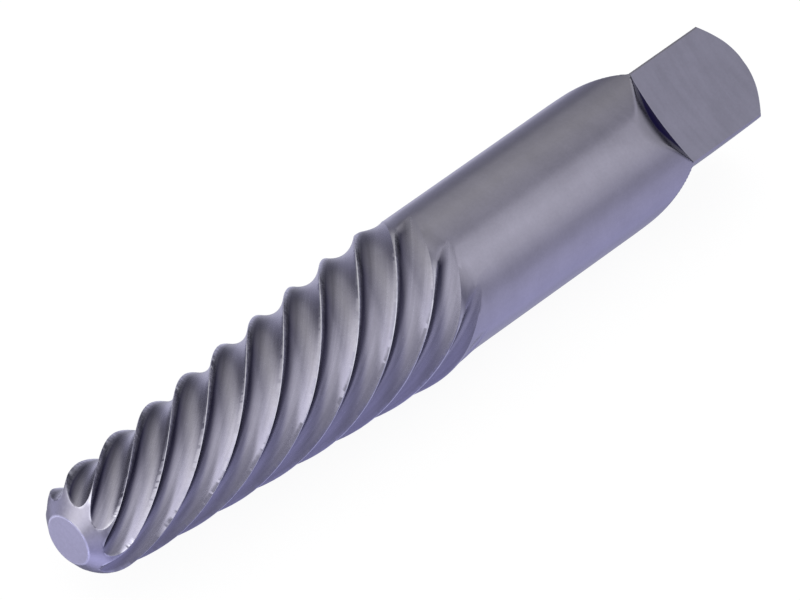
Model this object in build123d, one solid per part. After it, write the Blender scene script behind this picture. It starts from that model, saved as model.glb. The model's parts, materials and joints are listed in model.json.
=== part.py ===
from build123d import *
import math
import os

# A spiral screw extractor: one piece of hardened tool steel.
# The small end bites into a hole drilled in a broken screw. Nine left-hand flutes
# run round its tapered head, so turning it anticlockwise screws it in tighter.
# Behind the head is a plain round shank, and a milled square takes the tap wrench.
# The axis lies along X with the small end at -X. The tool lies on its side on Z = 0.

# Head: the tapered length that carries the flutes
head_length = 45.2              # from the small end face to the widest crest
crest_diameter_tip = 10.47      # the crest cone, carried on to the small end face
crest_diameter_wide = 16.88     # the crest cone at its widest
flute_count = 9
flute_lead = 47.8               # length of one whole turn, left-hand
flute_depth_tip = 1.31          # crest to floor at the small end face
flute_depth_wide = 1.0          # crest to floor at the widest crest
ridge_overcut = 0.10            # neighbouring flutes would meet this far above the crest
first_ridge_angle = 38.2        # degrees round the axis, from +Y towards +Z, at the small end

# Small end: a flat face, a cone and a rounded step up to the crests
tip_face_diameter = 5.46
tip_half_angle = 53.0           # degrees between the axis and the end cone
tip_blend_radius = 4.0

# Swell: the crests stand proud of the shank and fall to it in a smooth S curve
swell_length = 6.45

# Shank
shank_diameter = 15.875
shank_length = 30.6             # from the end of the swell to the wall of the square

# Square drive
square_across_flats = 11.4
square_length = 13.0            # from the wall of a flat to the end face
square_turn = 36.2              # degrees round the axis of one flat, from +Y towards +Z
cutter_radius = 36.0            # the flats end in an arc as wide as the milling cutter
ramp_angle = 46.0               # degrees between the axis and the wall of a flat
shoulder_radius = 7.0           # rounds the wall over onto the shank
shoulder_entry = 5.75           # degrees between the axis and the rounding where it leaves the shank
end_bevel = 2.2                 # how far the bevel reaches along the axis and in from the shank
bevel_crown = 3.0               # degrees that the bevel leans over and back from 45, so it is slightly full

# Places along the tool, measured from the small end face
swell_end = head_length + swell_length
square_start = swell_end + shank_length
overall_length = square_start + square_length

# Ways of building
spill = 1.0                     # cutting bodies reach this far past the steel
twist_step = 20.0               # degrees between neighbouring flute sections

shank_radius = shank_diameter / 2
crest_radius_tip = crest_diameter_tip / 2
crest_radius_wide = crest_diameter_wide / 2
widest_radius = max(crest_radius_wide, shank_radius)


def along_taper(start, end, x):
    """A size that is start at the small end face and changes evenly to end at the widest crest."""
    return start + (end - start) * x / head_length


def crest_radius(x):
    return along_taper(crest_radius_tip, crest_radius_wide, x)


def floor_radius(x):
    return crest_radius(x) - along_taper(flute_depth_tip, flute_depth_wide, x)


def heading(angle):
    """A direction in the turned outline, in degrees from the axis."""
    return (math.cos(math.radians(angle)), math.sin(math.radians(angle)))


def swell_curve(widest, crest_slope):
    """The S curve from the widest crest down to the shank: two arcs of one radius that meet smoothly."""
    climb = math.atan(crest_slope)
    run = swell_length
    fall = crest_radius_wide - shank_radius
    reach = fall * (1 + math.cos(climb)) + run * math.sin(climb)
    span = run ** 2 + fall ** 2
    radius = span / (reach + math.sqrt(reach ** 2 + 2 * (1 - math.cos(climb)) * span))
    across = run - radius * math.sin(climb)
    dip = math.atan2(across, radius * (1 + math.cos(climb)) - fall)
    crown = JernArc(widest, heading(math.degrees(climb)), radius, -math.degrees(climb + dip))
    foot = JernArc(crown @ 1, crown % 1, radius, math.degrees(dip))
    return Curve() + [crown, foot]


def turned_blank():
    """The steel before it is fluted and milled, turned about the axis."""
    tip_radius = tip_face_diameter / 2
    cone_slope = math.tan(math.radians(tip_half_angle))
    crest_slope = (crest_radius_wide - crest_radius_tip) / head_length
    corner_x = (crest_radius_tip - tip_radius) / (cone_slope - crest_slope)
    corner = (corner_x, crest_radius(corner_x))
    widest = (head_length, crest_radius_wide)
    shank_front = (swell_end, shank_radius)
    shank_back = (overall_length - end_bevel, shank_radius)
    end_rim = (overall_length, shank_radius - end_bevel)

    nose = FilletPolyline((0, tip_radius), corner, widest, radius=tip_blend_radius)
    swell = swell_curve(widest, crest_slope)
    shank = Line(shank_front, shank_back)
    bevel = Spline(shank_back, end_rim, tangents=[heading(-45 + bevel_crown), heading(-45 - bevel_crown)])
    ends = Polyline(end_rim, (overall_length, 0), (0, 0), (0, tip_radius))
    outline = make_face(Curve() + [nose, swell, shank, bevel, ends])
    return revolve(outline, Axis.X)


def flute_section(x):
    """One flute's waste, cut across at x: a hollow arc below, and an arc outside the steel above."""
    pitch = 360 / flute_count
    first = first_ridge_angle - 360 * x / flute_lead
    ridge = crest_radius(x) + ridge_overcut
    plane = Plane(origin=(x, 0, 0), x_dir=(0, 1, 0), z_dir=(1, 0, 0))

    def spot(radius, angle):
        turn = math.radians(first + angle)
        return plane.from_local_coords((radius * math.cos(turn), radius * math.sin(turn), 0))

    hollow = ThreePointArc(spot(ridge, 0), spot(floor_radius(x), pitch / 2), spot(ridge, pitch))
    outside = ThreePointArc(spot(ridge, pitch), spot(ridge + spill, pitch / 2), spot(ridge, 0))
    return Face(Wire([hollow, outside]))


def flute_cutter():
    """One flute's waste, from before the small end until its floor has climbed out of the steel."""
    floor_slope = (floor_radius(head_length) - floor_radius(0)) / head_length
    start = -spill
    end = (widest_radius + spill - floor_radius(0)) / floor_slope
    stations = math.ceil((end - start) / flute_lead * 360 / twist_step)
    step = (end - start) / stations
    return loft([flute_section(start + number * step) for number in range(stations + 1)])


def flat_cutter():
    """One flat's waste, for a flat that faces +Z: a disc with a sloping and rounded rim."""
    height = square_across_flats / 2
    centre_x = square_start + cutter_radius
    slope = math.radians(ramp_angle)
    entry = math.radians(shoulder_entry)
    drop = shoulder_radius * (math.cos(entry) - math.cos(slope))
    run = shoulder_radius * (math.sin(slope) - math.sin(entry))
    bend_height = shank_radius - drop
    bend_reach = cutter_radius + (bend_height - height) / math.tan(slope)
    top_reach = bend_reach + run
    rim = JernArc((bend_reach, bend_height), (math.cos(slope), math.sin(slope)), shoulder_radius,
                  -math.degrees(slope - entry))
    end = rim @ 1
    lift = spill * math.tan(entry)
    beyond = (top_reach + spill, end.Y + lift)
    outline = Polyline(beyond, (top_reach + spill, widest_radius + spill), (0, widest_radius + spill),
                       (0, height), (cutter_radius, height), (bend_reach, bend_height))
    outer = Line(end, beyond)
    profile = make_face(Curve() + [rim, outer, outline])
    disc = revolve(Plane.XZ * profile, Axis.Z)
    return Pos(centre_x, 0, 0) * disc


def screw_extractor():
    """The finished tool, with its small end face on X = 0 and its axis on X."""
    flute = flute_cutter()
    flutes = [Rot(number * 360 / flute_count, 0, 0) * flute for number in range(flute_count)]
    flat = flat_cutter()
    flats = [Rot(square_turn - 90 + number * 90, 0, 0) * flat for number in range(4)]
    return turned_blank() - flutes - flats


tool = screw_extractor()
lowest = tool.bounding_box().min.Z
tool = Pos(-overall_length / 2, 0, -lowest) * tool
tool.label = "extractor_body"

os.makedirs("parts", exist_ok=True)
export_step(tool, "parts/extractor_body.step")
print("overall length", round(overall_length, 2))
print("volume", round(tool.volume, 1), "solids", len(tool.solids()), "centre", tool.center(CenterOf.MASS))
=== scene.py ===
# %% [markdown]
# # A spiral screw extractor
# The tool is one bar of hardened steel. Its tapered head carries nine left-hand flutes, its
# shank is plain and round, and its end is milled square for a tap wrench.
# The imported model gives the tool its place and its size. This file gives it its look: it lays
# a fine skin over that form, with every edge on a line of the skin, and finishes each stretch
# the way it was machined.

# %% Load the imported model
import bmesh
import json
import math
import random
import bpy
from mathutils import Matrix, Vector


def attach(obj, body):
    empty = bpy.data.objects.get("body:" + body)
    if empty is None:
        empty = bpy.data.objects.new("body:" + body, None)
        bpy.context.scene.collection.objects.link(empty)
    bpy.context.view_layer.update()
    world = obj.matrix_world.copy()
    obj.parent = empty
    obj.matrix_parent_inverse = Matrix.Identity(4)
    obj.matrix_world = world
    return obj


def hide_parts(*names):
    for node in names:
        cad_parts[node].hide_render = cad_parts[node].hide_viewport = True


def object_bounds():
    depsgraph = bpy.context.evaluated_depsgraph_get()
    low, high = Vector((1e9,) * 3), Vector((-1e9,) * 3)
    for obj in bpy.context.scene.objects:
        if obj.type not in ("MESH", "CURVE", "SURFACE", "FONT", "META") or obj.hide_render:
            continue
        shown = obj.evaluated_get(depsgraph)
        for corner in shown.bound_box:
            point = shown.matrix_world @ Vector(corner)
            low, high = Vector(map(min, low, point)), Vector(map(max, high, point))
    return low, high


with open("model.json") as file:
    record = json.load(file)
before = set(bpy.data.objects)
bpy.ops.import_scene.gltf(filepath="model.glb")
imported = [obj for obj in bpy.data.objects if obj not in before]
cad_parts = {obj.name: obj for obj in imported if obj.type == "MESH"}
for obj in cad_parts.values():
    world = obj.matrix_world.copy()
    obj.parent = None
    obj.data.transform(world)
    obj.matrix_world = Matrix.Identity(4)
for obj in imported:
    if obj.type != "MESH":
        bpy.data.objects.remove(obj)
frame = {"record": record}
cad_low, cad_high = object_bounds()
mm = 0.001
overall_length = (cad_high.x - cad_low.x) / mm
shank_mount = next(mount for mount in frame["record"]["mounts"] if mount["name"] == "shank")
shank_radius = shank_mount["dims"]["r_mm"]
axis_height = shank_mount["pos_m"][2] / mm
print("the tool is", round(overall_length, 2), "mm long and its shank", 2 * shank_radius, "mm across")

# %% [markdown]
# ## The camera
# The photograph was taken from far off through a long lens, from the small end's side and
# from above, so that the tool runs up the picture from left to right. A long lens far away
# keeps the two sides of the shank almost parallel.

# %% Aim the camera
camera_azimuth = 43.15          # degrees from +X, turning towards +Y, in which the camera looks
camera_dip = 41.55              # degrees below the horizon
camera_distance = 780.66 * mm
lens_length = 349.8             # millimetres
sensor_width = 36               # millimetres
aim = Vector((0.05, 0.54, axis_height + 0.04)) * mm

camera_data = bpy.data.cameras.new("camera")
camera_data.lens = lens_length
camera_data.sensor_width = sensor_width
camera_data.clip_start = 0.05
camera_data.clip_end = 20
camera = bpy.data.objects.new("camera", camera_data)
bpy.context.scene.collection.objects.link(camera)
turn, dip = math.radians(camera_azimuth), math.radians(camera_dip)
sight = Vector((math.cos(dip) * math.cos(turn), math.cos(dip) * math.sin(turn), -math.sin(dip)))
camera.location = aim - camera_distance * sight
camera.rotation_euler = sight.to_track_quat("-Z", "Y").to_euler()
bpy.context.scene.camera = camera
print("the camera stands at", [round(c, 3) for c in camera.location])

# %% [markdown]
# ## The turned form
# Before it was fluted and milled, the tool was a turned bar, so one rule gives its radius at
# each place along it: a cone, a rounded step, the long taper of the crests, an S curve down
# to the shank, the shank, and a slightly full bevel at the end. Distances are in
# millimetres from the small end face. Writing the rule down once lets the flutes, the flats
# and the finish all ask it the same question.

# %% The tool's sizes
head_length = 45.2
crest_radius_tip = 5.235
crest_radius_wide = 8.44
tip_radius = 2.73
tip_half_angle = math.radians(53)
tip_blend_radius = 4.0
swell_length = 6.45
end_bevel = 2.2
bevel_lean = math.radians(45)
bevel_crown = math.radians(3)   # the bevel leans this much over and back, so it is slightly full

crest_climb = math.atan((crest_radius_wide - crest_radius_tip) / head_length)
swell_end = head_length + swell_length
bevel_start = overall_length - end_bevel
print("the crests climb", round(math.degrees(crest_climb), 2), "degrees")

# %% Where the rounded step of the small end begins and ends
corner_x = (crest_radius_tip - tip_radius) / (math.tan(tip_half_angle) - math.tan(crest_climb))
blend_reach = tip_blend_radius * math.tan((tip_half_angle - crest_climb) / 2)
blend_start = corner_x - blend_reach * math.cos(tip_half_angle)
blend_end = corner_x + blend_reach * math.cos(crest_climb)
blend_x = blend_start + tip_blend_radius * math.sin(tip_half_angle)
blend_r = tip_radius + blend_start * math.tan(tip_half_angle) - tip_blend_radius * math.cos(tip_half_angle)
print("the rounded step runs from", round(blend_start, 2), "to", round(blend_end, 2), "mm")

# %% The S curve from the crests down to the shank
swell_fall = crest_radius_wide - shank_radius
swell_reach = swell_fall * (1 + math.cos(crest_climb)) + swell_length * math.sin(crest_climb)
swell_span = swell_length ** 2 + swell_fall ** 2
swell_radius = swell_span / (swell_reach + math.sqrt(swell_reach ** 2
                                                     + 2 * (1 - math.cos(crest_climb)) * swell_span))
crown_x = head_length + swell_radius * math.sin(crest_climb)
crown_r = crest_radius_wide - swell_radius * math.cos(crest_climb)
swell_middle = (crown_x + swell_end) / 2
print("the swell is two arcs of", round(swell_radius, 2), "mm that meet at", round(swell_middle, 2))

# %% The bevel of the end, one long arc
bevel_arc = end_bevel * math.sqrt(2) / (2 * math.sin(bevel_crown))
bevel_x = bevel_start - bevel_arc * math.sin(bevel_lean - bevel_crown)
bevel_r = shank_radius - bevel_arc * math.cos(bevel_lean - bevel_crown)
print("the bevel's arc is", round(bevel_arc, 1), "mm in radius")


# %% The radius of the turned bar
def turned_radius(x):
    if x < blend_start:
        return tip_radius + x * math.tan(tip_half_angle)
    if x < blend_end:
        return blend_r + math.sqrt(tip_blend_radius ** 2 - (x - blend_x) ** 2)
    if x < head_length:
        return crest_radius_tip + x * math.tan(crest_climb)
    if x < swell_middle:
        return crown_r + math.sqrt(swell_radius ** 2 - (x - crown_x) ** 2)
    if x < swell_end:
        return shank_radius + swell_radius - math.sqrt(swell_radius ** 2 - (swell_end - x) ** 2)
    if x < bevel_start:
        return shank_radius
    return bevel_r + math.sqrt(bevel_arc ** 2 - (x - bevel_x) ** 2)


for place in (0, 2, 20, head_length, 50, 60, overall_length):
    print("radius at", place, "mm:", round(turned_radius(place), 3))

# %% [markdown]
# ## The flutes
# A flute is a hollow arc that winds round the taper. Cut across, each one is part of a
# circle whose centre lies outside the steel, and two neighbours leave a narrow land between
# them, the ridge that bites. The floor climbs faster than the crest, so past the widest
# crest each flute runs out to a point.

# %% Sizes of the flutes
flute_count = 9
flute_lead = 47.8               # length of one whole turn, left-hand
flute_depth_tip = 1.31
flute_depth_wide = 1.0
ridge_overcut = 0.10            # neighbouring flutes would meet this far above the crest
first_ridge_angle = 38.2        # degrees round the axis, from +Y towards +Z, at the small end
pitch = 360 / flute_count


# %% The circle of a flute, and where it meets the turned bar
def flute_circle(x):
    crest = crest_radius_tip + x * math.tan(crest_climb)
    floor = crest - flute_depth_tip - (flute_depth_wide - flute_depth_tip) * x / head_length
    ridge = crest + ridge_overcut
    centre = (ridge ** 2 - floor ** 2) / (2 * (ridge * math.cos(math.radians(pitch / 2)) - floor))
    return centre, centre - floor


def flute_half_angle(x):
    centre, arc = flute_circle(x)
    bar = turned_radius(x)
    cosine = (bar ** 2 + centre ** 2 - arc ** 2) / (2 * bar * centre)
    return math.degrees(math.acos(min(1, cosine)))


def flute_radius(x, angle):
    centre, arc = flute_circle(x)
    lean = math.radians(angle)
    return centre * math.cos(lean) - math.sqrt(arc ** 2 - (centre * math.sin(lean)) ** 2)


print("a ridge's land is", round(math.radians(pitch - 2 * flute_half_angle(30)) * turned_radius(30), 2),
      "mm wide 30 mm up the head")

# %% [markdown]
# ## Rings of points across the head
# The skin is a stack of rings, all with the same number of points, so that neighbouring
# rings join into four-sided faces. On the head the points follow the flutes round, with
# some on each hollow and a few on each land, so both edges of a ridge are lines of the mesh.
# A real ridge is never quite straight: the grinder and the first screws leave it ragged. So
# each edge wanders a little, and the land is nicked here and there, always inwards.

# %% How ragged a ridge is
ridge_start = 15                # a flute leaves a ridge where its half angle is over this many degrees
ridge_fade = 3                  # and the ridge is fully ragged this many degrees on
land_lean = 0.03                # a land is highest on the square's side and falls this far across
rag_width = 0.16                # degrees by which a ridge's edge wanders
nick_depth = 0.012
nick_draw = (-0.7, 1)           # a draw below nought leaves no nick
wander = random.Random(7)


def ridge_share(edge):
    return max(0.0, min(1.0, (edge - ridge_start) / ridge_fade))


# %% Points on the flutes and on the lands between them
hollow_steps = 16
land_steps = 4
flute_steps = hollow_steps + land_steps
ring_points = flute_count * flute_steps
least_half_angle = 6.0          # near a flute's pointed end its points are spread this wide


def head_ring(x):
    edge = flute_half_angle(x)
    shown = max(edge, least_half_angle)
    bar = turned_radius(x)
    ragged = ridge_share(edge)
    points = []
    for flute in range(flute_count):
        middle = first_ridge_angle + pitch * (flute + 0.5) - 360 * x / flute_lead
        low_rag = ragged * rag_width * wander.uniform(-1, 1)
        high_rag = ragged * rag_width * wander.uniform(-1, 1)
        nick = ragged * nick_depth * max(0.0, wander.uniform(*nick_draw))
        for step in range(hollow_steps):
            angle = shown * (2 * step / hollow_steps - 1) + (high_rag if step == 0 else 0)
            radius = min(bar, flute_radius(x, angle)) if abs(angle) < edge else bar
            points.append((x, middle + angle, radius))
        for step in range(land_steps):
            share = step / land_steps
            angle = shown + (pitch - 2 * shown) * share + (low_rag if step == 0 else 0)
            radius = bar - ragged * (land_lean * (1 - share) ** 2 + nick * share)
            if step == 0 and angle < edge:
                radius = min(radius, flute_radius(x, angle))
            points.append((x, middle + angle, radius))
    return points


# %% Stack the head's rings
rings = []
stretches = []


def add_ring(stretch, points):
    rings.append(points)
    stretches.append(stretch)


rim_chamfer = 0.06              # the small end's rim is rubbed down this much
rim_line = 0.16                 # each end face has a line of the mesh this far inside its rim
nose_spacing = 0.08
flute_spacing = 0.17
for inset in (rim_line, rim_chamfer):
    add_ring("tip face", [(0.0, angle, tip_radius - inset) for x, angle, radius in head_ring(0.0)])
station = rim_chamfer
while station < swell_end:
    add_ring("head", head_ring(station))
    station += nose_spacing if station < blend_end else flute_spacing
flutes_end = rings[-1][0][0]
print(len(rings), "rings of", ring_points, "points up to", round(flutes_end, 2), "mm")

# %% [markdown]
# ## Rings along the shank
# On the plain shank the rings only carry the skin from the flutes' points to the square's
# corners. They spread their points out evenly, and turn them by up to half a step, so that
# the last ring's points lie in line with the square's.

# %% How far the points turn on the shank
square_turn = 36.2              # degrees round the axis of one flat, from +Y towards +Z
corner_steps = 5
flat_steps = ring_points // 4 - corner_steps
ring_step = 360 / ring_points
even_half_angle = hollow_steps * ring_step / 2

last_middle = first_ridge_angle + pitch / 2 - 360 * flutes_end / flute_lead
first_square = square_turn - flat_steps * ring_step / 2
offset = round((last_middle - even_half_angle - first_square) / ring_step)
into_line = first_square + offset * ring_step - (last_middle - even_half_angle)
print("the points turn", round(into_line, 2), "degrees into line with the square")

# %% The shank's rings
spread_length = 5.0             # the points have spread out evenly this far past the flutes
shank_spacing = 0.8
shank_rings_end = 73.5          # a few millimetres short of the square's rounded shoulders


def shank_ring(x):
    spread = min(1.0, (x - flutes_end) / spread_length)
    half = least_half_angle + (even_half_angle - least_half_angle) * spread
    turned = into_line * (x - flutes_end) / (shank_rings_end - flutes_end)
    points = []
    for flute in range(flute_count):
        middle = last_middle + pitch * flute + turned
        for step in range(hollow_steps):
            points.append((x, middle + half * (2 * step / hollow_steps - 1), shank_radius))
        for step in range(land_steps):
            points.append((x, middle + half + (pitch - 2 * half) * step / land_steps, shank_radius))
    return points


shank_count = round((shank_rings_end - flutes_end) / shank_spacing)
for number in range(1, shank_count + 1):
    add_ring("shank", shank_ring(flutes_end + (shank_rings_end - flutes_end) * number / shank_count))
print(len(rings), "rings up to the square")

# %% [markdown]
# ## Rings over the square
# Each flat was milled with a round cutter: a level floor, a sloping wall, and a rounded
# shoulder that runs out on the shank. Here a ring isn't straight across. One follows the
# foot of the walls and another the edge of the bevel, so both show as clean lines. The
# shoulder's edge on the shank crosses the rings, so they stand close together there.

# %% Sizes of the square
half_flats = 5.7
square_length = 13.0            # from the wall of a flat to the end face
cutter_radius = 36.0
ramp_angle = math.radians(46)
shoulder_radius = 7.0
shoulder_entry = math.radians(5.75)

cutter_x = overall_length - square_length + cutter_radius
bend_height = shank_radius - shoulder_radius * (math.cos(shoulder_entry) - math.cos(ramp_angle))
bend_reach = cutter_radius + (bend_height - half_flats) / math.tan(ramp_angle)
flat_half_angle = math.degrees(math.acos(half_flats / shank_radius))
print("a flat is", round(2 * half_flats * math.tan(math.radians(flat_half_angle)), 2), "mm wide")


# %% The steel beside a flat, where the cutter's wall and rounding stand
def cutter_height(reach):
    """How high the cutter's rim stands over the axis, at a distance from the cutter's middle."""
    if reach < bend_reach:
        return half_flats + (reach - cutter_radius) * math.tan(ramp_angle)
    past_bend = reach - bend_reach
    lean_sine = math.sin(ramp_angle) - past_bend / shoulder_radius
    lean = math.asin(max(math.sin(shoulder_entry), lean_sine))
    height = bend_height + shoulder_radius * (math.cos(lean) - math.cos(ramp_angle))
    beyond = past_bend - shoulder_radius * (math.sin(ramp_angle) - math.sin(shoulder_entry))
    return height + max(0.0, beyond) * math.tan(shoulder_entry)


# %% The shoulder, where that wall meets the shank
shoulder_blend = 0.35           # the shoulder's edge on the shank is polished round over this much
least_blend = 1e-6
wall_tries = 12                 # the wall's radius tells where it stands, so it is found by trying again


def shoulder_radius_at(x, lean, blend):
    """The radius at a place beside the flat: the wall's or the shank's, whichever is less, blended."""
    wall = shank_radius
    for attempt in range(wall_tries):
        beside = wall * math.sin(lean)
        wall = cutter_height(math.hypot(cutter_x - x, beside)) / math.cos(lean)
    overlap = max(0.0, blend - abs(wall - shank_radius)) / blend
    return min(wall, shank_radius) - overlap ** 2 * blend / 4


# %% Where a flat begins and ends, by the angle from its middle
def bevel_place(radius):
    return bevel_x + math.sqrt(bevel_arc ** 2 - (radius - bevel_r) ** 2)


def foot_x(lean):
    return cutter_x - math.sqrt(cutter_radius ** 2 - (half_flats * math.tan(lean)) ** 2)


def edge_x(lean):
    rim = half_flats / math.cos(lean)
    return overall_length if rim < turned_radius(overall_length) else bevel_place(rim)


# %% The rings of the square
turn_share = 0.25               # the points turn from even steps to the flat's own over this share


def square_point(stretch, share, angle, even):
    """One point of a square ring, at an angle from the middle of its flat, or on the corner beside it."""
    from_flat = angle if angle <= 45 else 90 - angle
    lean = math.radians(min(abs(from_flat), flat_half_angle))
    rim = half_flats / math.cos(lean)
    if stretch == "shoulder":
        x = shank_rings_end + (foot_x(lean) - shank_rings_end) * share
        turned = even + (angle - even) * min(1.0, share / turn_share)
        blend = max(least_blend, shoulder_blend * (1 - share))
        return x, turned, min(shank_radius, shoulder_radius_at(x, lean, blend))
    if stretch == "flat":
        return foot_x(lean) + (edge_x(lean) - foot_x(lean)) * share, angle, rim
    end_radius = min(rim, turned_radius(overall_length))
    radius = rim + (end_radius - rim) * share
    return overall_length if edge_x(lean) == overall_length else bevel_place(radius), angle, radius


def square_ring(stretch, share):
    points = []
    for spot in range(offset, offset + ring_points):
        quarter, step = divmod(spot, flat_steps + corner_steps)
        angle = flat_half_angle * (2 * step / flat_steps - 1)
        if step >= flat_steps:
            corner = (step - flat_steps) / corner_steps
            angle = flat_half_angle + (90 - 2 * flat_half_angle) * corner
        x, turned, radius = square_point(stretch, share, angle, ring_step * (step - flat_steps / 2))
        points.append((x, square_turn + 90 * quarter + turned, radius))
    return points


# %% Stack the square's rings, close together where the form bends
shoulder_rings = 72
flat_rings = 14
bevel_rings = 8
for number in range(1, shoulder_rings + 1):
    add_ring("shoulder", square_ring("shoulder", number / shoulder_rings))
for number in range(1, flat_rings + 1):
    add_ring("flat", square_ring("flat", (number / flat_rings) ** 2))
for number in range(1, bevel_rings + 1):
    add_ring("bevel", square_ring("bevel", number / bevel_rings))
add_ring("end face", [(x, angle, radius - rim_line) for x, angle, radius in rings[-1]])
print(len(rings), "rings in all")

# %% [markdown]
# ## Steel
# The whole tool is one steel, but each stretch of it was finished in its own way. Four
# effects make up the finishes, so each is a node group that is built once: the satin grain
# and faint blotches of hardened steel, the lines that a wheel or cutter draws, worn edges
# painted bright, which also paints the highlight their rounding would catch, and painted
# shade, near black, on the walls behind the ridges and at the foot of the cutter's walls.


# %% Helpers for nodes
def give(tree, socket, value):
    """Link a value to a socket if it comes from a node, or else set it there."""
    if isinstance(value, bpy.types.NodeSocket):
        tree.links.new(value, socket)
    else:
        socket.default_value = value


def math_node(tree, operation, first, second):
    node = tree.nodes.new("ShaderNodeMath")
    node.operation = operation
    for socket, value in zip(node.inputs, (first, second)):
        give(tree, socket, value)
    return node.outputs[0]


def vector_node(tree, operation, first, second):
    node = tree.nodes.new("ShaderNodeVectorMath")
    node.operation = operation
    for socket, value in zip(node.inputs, (first, second)):
        give(tree, socket, value)
    return node.outputs[0]


def noise_node(tree, vector, scale, detail):
    node = tree.nodes.new("ShaderNodeTexNoise")
    node.inputs["Scale"].default_value = scale
    node.inputs["Detail"].default_value = detail
    tree.links.new(vector, node.inputs["Vector"])
    return node.outputs["Fac"]


def cover_colour(tree, share, under, over):
    node = tree.nodes.new("ShaderNodeMix")
    node.data_type = "RGBA"
    node.inputs["B"].default_value = (*over, 1)
    tree.links.new(share, node.inputs["Factor"])
    tree.links.new(under, node.inputs["A"])
    return node.outputs["Result"]


def tone_around_one(tree, value, amount):
    swing = math_node(tree, "SUBTRACT", value, 0.5)
    return math_node(tree, "ADD", 1.0, math_node(tree, "MULTIPLY", swing, amount))


# %% Helpers for node groups
def new_group(name, inputs, outputs):
    group = bpy.data.node_groups.new(name, "ShaderNodeTree")
    for label, kind, value in inputs:
        socket = group.interface.new_socket(name=label, in_out="INPUT", socket_type=kind)
        if value is not None:
            socket.default_value = value
    for label, kind in outputs:
        group.interface.new_socket(name=label, in_out="OUTPUT", socket_type=kind)
    return group, group.nodes.new("NodeGroupInput"), group.nodes.new("NodeGroupOutput")


def group_node(tree, group, **inputs):
    node = tree.nodes.new("ShaderNodeGroup")
    node.node_tree = group
    for label, value in inputs.items():
        give(tree, node.inputs[label], value)
    return node


# %% The satin grain
grain_group, grain_in, grain_out = new_group(
    "satin_grain",
    [("Place", "NodeSocketVector", None),
     ("Blotches", "NodeSocketFloat", 0.2),
     ("Grain", "NodeSocketFloat", 0.2)],
    [("Tone", "NodeSocketFloat"), ("Height", "NodeSocketFloat")])
blotches = noise_node(grain_group, grain_in.outputs["Place"], scale=350.0, detail=3.0)
speckle = noise_node(grain_group, grain_in.outputs["Place"], scale=3200.0, detail=2.0)
blotch_tone = tone_around_one(grain_group, blotches, grain_in.outputs["Blotches"])
speckle_tone = tone_around_one(grain_group, speckle, grain_in.outputs["Grain"])
grain_tone = math_node(grain_group, "MULTIPLY", blotch_tone, speckle_tone)
grain_group.links.new(grain_tone, grain_out.inputs["Tone"])
grain_group.links.new(speckle, grain_out.inputs["Height"])
print(grain_group.name, "has", len(grain_group.nodes), "nodes")

# %% The drawn lines of a wheel or a cutter
lines_group, lines_in, lines_out = new_group(
    "drawn_lines",
    [("Finish", "NodeSocketVector", None),
     ("Spread", "NodeSocketVector", (4.0, 0.2, 1.0)),
     ("Contrast", "NodeSocketFloat", 0.3)],
    [("Tone", "NodeSocketFloat"), ("Height", "NodeSocketFloat")])
stretched = vector_node(lines_group, "MULTIPLY", lines_in.outputs["Finish"], lines_in.outputs["Spread"])
drawn = noise_node(lines_group, stretched, scale=1.0, detail=2.0)
line_tone = tone_around_one(lines_group, drawn, lines_in.outputs["Contrast"])
lines_group.links.new(line_tone, lines_out.inputs["Tone"])
lines_group.links.new(drawn, lines_out.inputs["Height"])
print(lines_group.name, "has", len(lines_group.nodes), "nodes")

# %% Worn edges, painted bright together with their highlight, broken up into bright specks
speck_contrast = 2.4
worn_highlit_group, worn_highlit_in, worn_highlit_out = new_group(
    "worn_and_highlit_edge",
    [("Place", "NodeSocketVector", None),
     ("Edge", "NodeSocketFloat", 0.0),
     ("Wear", "NodeSocketFloat", 0.6)],
    [("Mask", "NodeSocketFloat")])
specks = noise_node(worn_highlit_group, worn_highlit_in.outputs["Place"], scale=2200.0, detail=3.0)
broken = math_node(worn_highlit_group, "MULTIPLY", specks, speck_contrast)
worn_and_highlit_share = math_node(worn_highlit_group, "MULTIPLY", worn_highlit_in.outputs["Edge"], worn_highlit_in.outputs["Wear"])
mask = worn_highlit_group.nodes.new("ShaderNodeClamp")
worn_highlit_group.links.new(math_node(worn_highlit_group, "MULTIPLY", worn_and_highlit_share, broken), mask.inputs["Value"])
worn_highlit_group.links.new(mask.outputs[0], worn_highlit_out.inputs["Mask"])
print(worn_highlit_group.name, "has", len(worn_highlit_group.nodes), "nodes")

# %% Painted shade, near black, for the walls behind the ridges and the foot of the cutter's walls
painted_shade_colour = (0.006, 0.004, 0.035)
painted_shade_onset = 4.0                # a power, so the painted shade dulls the metal only where it is darkest
painted_shade_group, painted_shade_in, painted_shade_out = new_group(
    "painted_shade_effect",
    [("Colour", "NodeSocketColor", None),
     ("Shelter", "NodeSocketFloat", 0.0),
     ("Film", "NodeSocketFloat", 0.8)],
    [("Colour", "NodeSocketColor"), ("Metallic", "NodeSocketFloat")])
darkened = cover_colour(painted_shade_group, painted_shade_in.outputs["Shelter"], painted_shade_in.outputs["Colour"], painted_shade_colour)
painted_shade_group.links.new(darkened, painted_shade_out.inputs["Colour"])
deepest_shade = math_node(painted_shade_group, "POWER", painted_shade_in.outputs["Shelter"], painted_shade_onset)
dulled = math_node(painted_shade_group, "MULTIPLY", deepest_shade, painted_shade_in.outputs["Film"])
painted_shade_group.links.new(math_node(painted_shade_group, "SUBTRACT", 1.0, dulled), painted_shade_out.inputs["Metallic"])
print(painted_shade_group.name, "has", len(painted_shade_group.nodes), "nodes")

# %% [markdown]
# A finish scales the steel's colour by the grain and the lines, darkens it with painted shade
# and brightens it on worn edges, which also paints their highlight. How much painted shade
# and how much wear and highlight each point has will be painted on the skin, as two numbers
# at every point. In the corner at the foot of a cutter's wall the painted shade is dark enough
# to dull the metal too.

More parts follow.
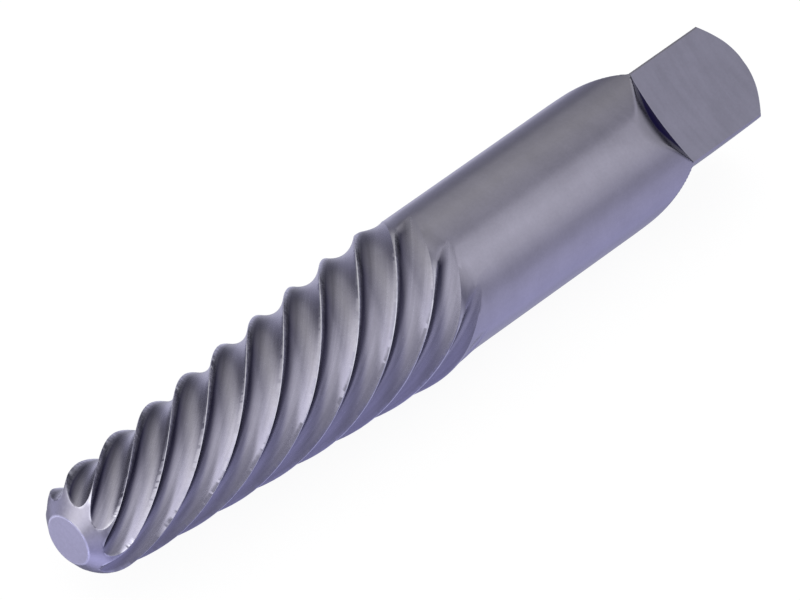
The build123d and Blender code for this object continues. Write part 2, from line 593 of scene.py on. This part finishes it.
# %% A finish made from the effects
steel_colour = (0.28, 0.27, 0.35)
flat_colour = (0.22, 0.215, 0.29)
# the next colour is worn metal, and it also paints the highlight on rounded edges
bright_colour = (0.59, 0.585, 0.70)
relief_strength = 0.5
relief_depth = 0.003 * mm


def painted(tree, name):
    node = tree.nodes.new("ShaderNodeAttribute")
    node.attribute_name = name
    return node.outputs["Fac"]


def steel_finish(name, colour, roughness, blotches, grain, spread, contrast, wear_and_highlight,
                 painted_shade=False, shade_dulling=0.0):
    steel = bpy.data.materials.new(name)
    steel.use_nodes = True
    tree = steel.node_tree
    shader = tree.nodes["Principled BSDF"]
    shader.inputs["Metallic"].default_value = 1.0
    place = tree.nodes.new("ShaderNodeTexCoord").outputs["Object"]
    finish = tree.nodes.new("ShaderNodeUVMap")
    finish.uv_map = "finish"
    satin = group_node(tree, grain_group, Place=place, Blotches=blotches, Grain=grain)
    lines = group_node(tree, lines_group, Finish=finish.outputs["UV"], Spread=spread, Contrast=contrast)
    worn_and_highlit = group_node(tree, worn_highlit_group, Place=place, Edge=painted(tree, "worn_and_highlit"), Wear=wear_and_highlight)

    tone = math_node(tree, "MULTIPLY", satin.outputs["Tone"], lines.outputs["Tone"])
    toned = tree.nodes.new("ShaderNodeVectorMath")
    toned.operation = "SCALE"
    toned.inputs[0].default_value = colour
    tree.links.new(tone, toned.inputs["Scale"])
    surface = toned.outputs[0]
    # painted shade: it darkens the colour, and where it is darkest it dulls the metal too
    if painted_shade:
        dark = group_node(tree, painted_shade_group, Colour=surface, Shelter=painted(tree, "painted_shade"), Film=shade_dulling)
        surface = dark.outputs["Colour"]
        if shade_dulling:
            tree.links.new(dark.outputs["Metallic"], shader.inputs["Metallic"])
            shader.inputs["Specular IOR Level"].default_value = 0.0
    # worn edges are painted bright, which also paints the highlight that their rounding would catch
    worn_and_highlit_surface = cover_colour(tree, worn_and_highlit.outputs["Mask"], surface, bright_colour)
    tree.links.new(worn_and_highlit_surface, shader.inputs["Base Color"])

    tree.links.new(math_node(tree, "MULTIPLY", tone, roughness), shader.inputs["Roughness"])
    relief = tree.nodes.new("ShaderNodeBump")
    relief.inputs["Strength"].default_value = relief_strength
    relief.inputs["Distance"].default_value = relief_depth
    height = math_node(tree, "ADD", satin.outputs["Height"], lines.outputs["Height"])
    tree.links.new(height, relief.inputs["Height"])
    tree.links.new(relief.outputs["Normal"], shader.inputs["Normal"])
    print(name, "is made")
    return steel


# %% Each stretch's finish
finishes = {
    "nose": steel_finish("turned_nose", steel_colour, roughness=0.32, blotches=0.25, grain=0.25,
                         spread=(0.4, 3.0, 1.0), contrast=0.10, wear_and_highlight=0.55),
    "flute": steel_finish("ground_flutes", steel_colour, roughness=0.26, blotches=0.20, grain=0.15,
                          spread=(2.6, 0.12, 1.0), contrast=0.35, wear_and_highlight=0.9, painted_shade=True),
    "ridge": steel_finish("worn_highlit_ridges", steel_colour, roughness=0.30, blotches=0.20, grain=0.30,
                          spread=(1.0, 1.0, 1.0), contrast=0.10, wear_and_highlight=1.0),
    "shank": steel_finish("plain_shank", steel_colour, roughness=0.22, blotches=0.22, grain=0.12,
                          spread=(0.15, 1.2, 1.0), contrast=0.06, wear_and_highlight=0.35, painted_shade=True, shade_dulling=0.8),
    "flat": steel_finish("milled_flats", flat_colour, roughness=0.32, blotches=0.22, grain=0.12,
                         spread=(0.12, 1.1, 1.0), contrast=0.26, wear_and_highlight=0.25),
}

# %% [markdown]
# ## The skin
# Now the rings become one mesh. Each face takes the finish of its stretch, and a UV map in
# millimetres tells the drawn lines which way to run: along the flutes on the head, round
# the shank, and in arcs about the cutter's middle on the flats. Rings that run together at
# a flat's corners are merged, so no face there has an area of nothing.


# %% Where a point lies in its finish
def finish_place(stretch, point):
    x, angle, radius = point
    if stretch == "flat":
        normal = square_turn + 90 * round((angle - square_turn) / 90)
        beside = radius * math.sin(math.radians(angle - normal))
        return beside, math.hypot(cutter_x - x, beside)
    unwound = angle + 360 * min(x, flutes_end) / flute_lead
    return math.radians(unwound) * shank_radius, x


# %% Which finish a face takes
flat_margin = 0.01              # a flat's face has a point at least this far inside the shank
flute_margin = 0.03             # and a flute's face has one this far inside the turned bar


def face_finish(stretch, step, points):
    if stretch == "flat":
        lowest = min(radius for x, angle, radius in points)
        return "flat" if lowest < shank_radius - flat_margin else "shank"
    if stretch in ("bevel", "end face", "tip face"):
        return "nose"
    if stretch != "head":
        return "shank"
    on_hollow = step % flute_steps < hollow_steps
    if on_hollow and any(turned_radius(x) - radius > flute_margin for x, angle, radius in points):
        return "flute"
    station = points[0][0]
    return "nose" if station < blend_end else ("ridge" if station < head_length else "shank")


# %% Start the mesh
start_x = -overall_length / 2
finish_names = list(finishes)


def in_frame(point):
    x, angle, radius = point
    turned = math.radians(angle)
    across = radius * math.cos(turned)
    up = axis_height + radius * math.sin(turned)
    return (start_x + x) * mm, across * mm, up * mm


steel_work = bmesh.new()
finish_map = steel_work.loops.layers.uv.new("finish")
# two painted numbers at each point: worn edges with their painted highlight, and painted shade
worn_and_highlit_layer = steel_work.verts.layers.float.new("worn_and_highlit")
painted_shade_layer = steel_work.verts.layers.float.new("painted_shade")
corners = [[steel_work.verts.new(in_frame(point)) for point in ring] for ring in rings]


def add_face(stretch, step, verts, points):
    face = steel_work.faces.new(verts)
    face.material_index = finish_names.index(face_finish(stretch, step, points))
    face.smooth = True
    for loop, point in zip(face.loops, points):
        loop[finish_map].uv = finish_place(stretch, point)


print(len(steel_work.verts), "points")

# %% Join the rings, and close the two ends
for number in range(1, len(rings)):
    for step in range(ring_points):
        beside = (step + 1) % ring_points
        turn_on = 360 if beside == 0 else 0
        places = [(number - 1, step, 0), (number, step, 0),
                  (number, beside, turn_on), (number - 1, beside, turn_on)]
        verts = [corners[ring][spot] for ring, spot, more in places]
        points = [(rings[ring][spot][0], rings[ring][spot][1] + more, rings[ring][spot][2])
                  for ring, spot, more in places]
        add_face(stretches[number], step, verts, points)
for stretch, number, x in (("tip face", 0, 0.0), ("end face", -1, overall_length)):
    middle = steel_work.verts.new(in_frame((x, 0, 0)))
    for step in range(ring_points):
        beside = (step + 1) % ring_points
        pair = (step, beside) if number == 0 else (beside, step)
        verts = [middle] + [corners[number][spot] for spot in pair]
        add_face(stretch, step, verts, [(x, 0, 0)] + [rings[number][spot] for spot in pair])
print(len(steel_work.faces), "faces")


# %% Paint the head's worn edges bright, which also paints their highlight
def head_points():
    """Every point of the head: its place along, its flute's half angle, its step, radius and vertex."""
    for ring, verts in zip(rings, corners):
        x = ring[0][0]
        if x <= flutes_end:
            edge = flute_half_angle(x)
            for step, (point, vert) in enumerate(zip(ring, verts)):
                yield x, edge, step % flute_steps, point[2], vert


land_wear_and_highlight = [0.1, 0.5, 0.95, 1.0]       # across a land, towards its edge on the square's side
hollow_wear_and_highlight = [1.0, 0.2]                # and on over that edge, into the next flute
ring_wear_and_highlight = hollow_wear_and_highlight + [0.0] * (hollow_steps - len(hollow_wear_and_highlight)) + land_wear_and_highlight
rim_wear_and_highlight = 0.5
nose_wear_and_highlight = 0.6                 # where the flutes cut into the cone and the rounded step
nose_line = least_half_angle / hollow_steps * 1.1      # degrees: points this near a flute's edge are on it
# worn edges painted bright, which also paints their highlight
for x, edge, place, radius, vert in head_points():
    vert[worn_and_highlit_layer] = ridge_share(edge) * ring_wear_and_highlight[place]
    if x <= rim_chamfer and radius > tip_radius - rim_line / 2:
        vert[worn_and_highlit_layer] = rim_wear_and_highlight
    if place <= hollow_steps and x < blend_end and edge > 0:
        from_middle = abs(2 * place / hollow_steps - 1) * max(edge, least_half_angle)
        if abs(from_middle - edge) < nose_line:
            vert[worn_and_highlit_layer] = nose_wear_and_highlight
print(sum(vert[worn_and_highlit_layer] > 0 for vert in steel_work.verts), "points are rubbed")

# %% Paint shade on the side of each flute that faces the square
shade_reach = 0.52            # share of a flute's width
shade_gain = 1.25             # over 1, so that the darkest part is a band
shade_depth = 0.3             # where a flute runs out, its painted shade is full once it is this deep
shade_fade = 0.08             # the painted shade is this much paler at the wide end
for x, edge, place, radius, vert in head_points():
    if place < hollow_steps:
        near = min(1.0, shade_gain * max(0.0, 1 - place / hollow_steps / shade_reach))
        deep = min(1.0, ridge_share(edge) + (turned_radius(x) - radius) / shade_depth)
        vert[painted_shade_layer] = near * deep * (1 - shade_fade * x / head_length)
print(sum(vert[painted_shade_layer] > 0 for vert in steel_work.verts), "points are sheltered")

# %% Paint shade at the foot of each cutter's wall
foot_height = 1.95              # the painted shade reaches this high above the flat
foot_fade = 0.5
foot_start = 0.25               # it starts where the wall stands this far inside the shank
foot_full = 0.6
for ring, verts, stretch in zip(rings, corners, stretches):
    if stretch == "shoulder":
        for (x, angle, radius), vert in zip(ring, verts):
            lean = math.radians((angle - square_turn + 45) % 90 - 45)
            near = (foot_height - radius * math.cos(lean) + half_flats) / foot_fade
            deep = (shank_radius - radius - foot_start) / foot_full
            vert[painted_shade_layer] = max(0.0, min(1.0, near, deep))
print(sum(vert[painted_shade_layer] > 0 for vert in steel_work.verts), "points are sheltered now")

# %% Merge what ran together, and paint the square's worn edges bright with their highlight
merge_distance = 0.0005 * mm
worn_highlit_angle = math.radians(25)
square_wear_and_highlight = 0.8
bmesh.ops.remove_doubles(steel_work, verts=steel_work.verts, dist=merge_distance)
# the square's outward edges are painted bright: wear, and a painted highlight
for edge in steel_work.edges:
    on_head = blend_end < edge.verts[0].co.x / mm - start_x < flutes_end
    bent = len(edge.link_faces) == 2 and edge.is_convex and edge.calc_face_angle(0) > worn_highlit_angle
    if bent and not on_head:
        for vert in edge.verts:
            vert[worn_and_highlit_layer] = max(vert[worn_and_highlit_layer], square_wear_and_highlight)
steel_work.normal_update()
print(len(steel_work.verts), "points are left")

# %% Make the skin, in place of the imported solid
sharp_angle = math.radians(30)
skin = bpy.data.meshes.new("extractor_skin")
steel_work.to_mesh(skin)
steel_work.free()
skin.set_sharp_from_angle(angle=sharp_angle)
for name in finish_names:
    skin.materials.append(finishes[name])
extractor = bpy.data.objects.new("extractor_skin", skin)
bpy.context.scene.collection.objects.link(extractor)
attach(extractor, "root")
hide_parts("extractor_body")
skin.calc_loop_triangles()
print(len(skin.loop_triangles), "triangles in the skin")

# %% [markdown]
# ## The floor and the white background
# The floor is plain pale paper. The camera sees it and the space round it as white, and the
# paper keeps a trace of the tool's shadow.

# %% Floor
floor_size = 4.0
paper_colour = (0.85, 0.85, 0.85, 1)
floor_glow = 0.88               # share of the paper's look, to the camera, that is plain white
glow_strength = 1.05            # a little over white, so the paper's own share doesn't grey it
bpy.ops.mesh.primitive_plane_add(size=floor_size)
floor = bpy.context.object
floor.name = "floor"
floor.visible_glossy = False
paper = bpy.data.materials.new("floor_paper")
paper.use_nodes = True
paper_tree = paper.node_tree
paper_shader = paper_tree.nodes["Principled BSDF"]
paper_shader.inputs["Base Color"].default_value = paper_colour
glow = paper_tree.nodes.new("ShaderNodeEmission")
glow.inputs["Strength"].default_value = glow_strength
rays = paper_tree.nodes.new("ShaderNodeLightPath")
blend = paper_tree.nodes.new("ShaderNodeMixShader")
camera_share = math_node(paper_tree, "MULTIPLY", rays.outputs["Is Camera Ray"], floor_glow)
paper_tree.links.new(camera_share, blend.inputs["Fac"])
paper_tree.links.new(paper_shader.outputs[0], blend.inputs[1])
paper_tree.links.new(glow.outputs[0], blend.inputs[2])
paper_tree.links.new(blend.outputs[0], paper_tree.nodes["Material Output"].inputs["Surface"])
floor.data.materials.append(paper)
print("the floor is", floor_size, "m wide")

# %% World
world = bpy.data.worlds.new("studio")
bpy.context.scene.world = world
world.use_nodes = True
background = world.node_tree.nodes["Background"]
background.inputs["Color"].default_value = (1, 1, 1, 1)
background.inputs["Strength"].default_value = 1.0
print("the world is plain white")

# %% [markdown]
# ## The light tent
# Polished metal shows what stands round it, so its light is made of things to reflect. The
# tool lies in a long tent whose cloth is brighter in some strips than in others. Each strip
# shows in the round shank as a soft band that runs along it. Only reflections see the tent:
# it hides nothing and shades nothing.

# %% The tent
tent_radius = 0.15
tent_length = 2.6
bpy.ops.mesh.primitive_cylinder_add(vertices=96, radius=tent_radius, depth=tent_length,
                                    location=(0, 0, axis_height * mm), rotation=(0, math.pi / 2, 0))
tent = bpy.context.object
tent.name = "light_tent"
bpy.ops.object.transform_apply(location=True, rotation=True, scale=True)
tent.visible_camera = False
tent.visible_diffuse = False
tent.visible_transmission = False
tent.visible_volume_scatter = False
tent.visible_shadow = False
print("the tent is", tent_length, "m long")

# %% Where a point of the cloth lies, as a share of the way round from straight below
tent_cloth = bpy.data.materials.new("tent_cloth")
tent_cloth.use_nodes = True
tent_tree = tent_cloth.node_tree
tent_tree.nodes.remove(tent_tree.nodes["Principled BSDF"])
where = tent_tree.nodes.new("ShaderNodeSeparateXYZ")
tent_tree.links.new(tent_tree.nodes.new("ShaderNodeNewGeometry").outputs["Position"], where.inputs[0])
above = math_node(tent_tree, "SUBTRACT", where.outputs["Z"], axis_height * mm)
around = math_node(tent_tree, "ARCTAN2", above, where.outputs["Y"])
from_side = math_node(tent_tree, "DIVIDE", around, 2 * math.pi)
side_to_below = 1.25            # a quarter turn, and a whole one so that no share is below nought
from_below = math_node(tent_tree, "ADD", from_side, side_to_below)
share_round = math_node(tent_tree, "FRACT", from_below, 0.0)


def degrees_round(degrees):
    return (degrees + 90) / 360


def ramp_node(tree, share, kind, stops):
    node = tree.nodes.new("ShaderNodeValToRGB")
    node.color_ramp.interpolation = kind
    elements = node.color_ramp.elements
    while len(elements) < len(stops):
        elements.new(0.5)
    for element, (place, bright, blue) in zip(elements, stops):
        element.position = place
        element.color = (bright, bright, bright * blue, 1)
    tree.links.new(share, node.inputs["Fac"])
    return node.outputs["Color"]


# %% The strips of the tent: degrees round the axis from +Y towards +Z, brightness, and how blue
tent_strips = [
    (-90, 0.57, 1.36),
    (-68, 0.46, 1.28),
    (-50, 0.62, 1.18),
    (-30, 0.74, 1.22),
    (-6, 0.40, 1.22),
    (10, 0.36, 1.10),
    (32, 0.70, 0.94),
    (55, 0.86, 0.90),
    (78, 0.80, 0.95),
    (94, 0.70, 1.00),
    (112, 1.14, 0.97),
    (132, 1.34, 0.97),
    (150, 1.23, 0.98),
    (165, 1.00, 1.03),
    (178, 0.76, 1.09),
    (188, 0.80, 1.13),
    (206, 0.98, 1.19),
    (228, 0.95, 1.26),
    (250, 0.78, 1.36),
    (269, 0.57, 1.36),
]
strips = ramp_node(tent_tree, share_round, "EASE",
                   [(degrees_round(degrees), bright, blue) for degrees, bright, blue in tent_strips])
print(len(tent_strips), "strips of cloth")

# %% [markdown]
# Along the tool the cloth changes too, and each side of the tent in its own way. Behind the
# tool it is bright at the small end, which lights the walls that face that way near each
# ridge. In front it is dim beside the head, so the lower part of each flute is dark. Far
# past the square end it is almost black, and the walls of the flutes that face that way
# show it.

# %% The four sides: degrees round with the side's share, then metres along, brightness, blue
tent_near = -0.35
tent_far = 1.25
tent_sides = {
    "behind": ([(0, 0), (40, 1), (100, 1), (120, 0)],
               [(-0.20, 2.90, 1.0), (-0.12, 2.75, 1.0), (-0.10, 2.50, 1.0), (-0.07, 1.95, 1.0),
                (-0.04, 1.42, 1.0), (-0.01, 1.12, 1.0), (0.04, 0.97, 1.0), (0.107, 1.0, 1.0),
                (0.131, 0.80, 1.0), (0.150, 0.66, 1.0), (0.18, 1.05, 1.0), (0.30, 1.1, 1.0),
                (0.45, 0.9, 1.1), (0.60, 0.02, 1.6)]),
    "above": ([(100, 0), (120, 1), (150, 1), (168, 0)],
              [(-0.30, 0.90, 1.0), (-0.18, 0.38, 1.1), (-0.12, 0.42, 1.1), (-0.07, 0.60, 1.05),
               (-0.04, 0.80, 1.0), (-0.01, 0.98, 1.0), (0.04, 0.93, 1.0), (0.107, 1.0, 1.0),
               (0.131, 0.85, 1.0), (0.150, 0.72, 1.0), (0.20, 0.62, 1.0), (0.30, 0.58, 1.0),
               (1.00, 0.50, 1.0), (1.20, 0.02, 1.6)]),
    "in front": ([(150, 0), (168, 1), (235, 1), (250, 0)],
                 [(-0.28, 1.10, 1.0), (-0.19, 0.55, 1.15), (-0.07, 0.50, 1.2), (-0.01, 0.60, 1.2),
                  (0.05, 0.50, 1.15), (0.10, 0.98, 1.0), (0.131, 0.90, 1.0), (0.150, 0.76, 1.0),
                  (0.20, 0.40, 1.1), (0.40, 0.30, 1.1), (0.50, 0.02, 1.6)]),
    "below": ([(-90, 1), (0, 1), (40, 0), (235, 0), (250, 1)],
              [(-0.20, 2.0, 1.0), (-0.09, 1.90, 1.0), (-0.06, 1.00, 1.0), (-0.04, 0.45, 1.0),
               (-0.01, 0.55, 1.0), (0.03, 1.10, 1.0), (0.107, 1.0, 1.0), (0.150, 0.86, 1.0),
               (0.20, 1.2, 1.0), (0.30, 0.9, 1.0), (0.40, 0.02, 1.6)]),
}
print("the sides of the tent:", list(tent_sides))

# %% The cloth: its strips, each dimmed along its length by the side that it is on
share_along = tent_tree.nodes.new("ShaderNodeMapRange")
tent_tree.links.new(where.outputs["X"], share_along.inputs["Value"])
share_along.inputs["From Min"].default_value = tent_near
share_along.inputs["From Max"].default_value = tent_far
tent_reach = tent_far - tent_near
level = None
for side, (reach, stops) in tent_sides.items():
    weight = ramp_node(tent_tree, share_round, "LINEAR",
                       [(degrees_round(degrees), share, 1.0) for degrees, share in reach])
    along = ramp_node(tent_tree, share_along.outputs[0], "LINEAR",
                      [((x - tent_near) / tent_reach, bright, blue) for x, bright, blue in stops])
    part = vector_node(tent_tree, "MULTIPLY", weight, along)
    level = vector_node(tent_tree, "ADD", level, part) if level else part
cloth = tent_tree.nodes.new("ShaderNodeEmission")
tent_tree.links.new(vector_node(tent_tree, "MULTIPLY", strips, level), cloth.inputs["Color"])
tent_tree.links.new(cloth.outputs[0], tent_tree.nodes["Material Output"].inputs["Surface"])
tent_cloth.cycles.emission_sampling = "NONE"
tent.data.materials.append(tent_cloth)
print("the cloth has", len(tent_tree.nodes), "nodes")

# %% [markdown]
# ## Finish
# The colours are shown as they are, with the Standard view.

# %% Finish
view = bpy.context.scene.view_settings
view.view_transform = "Standard"
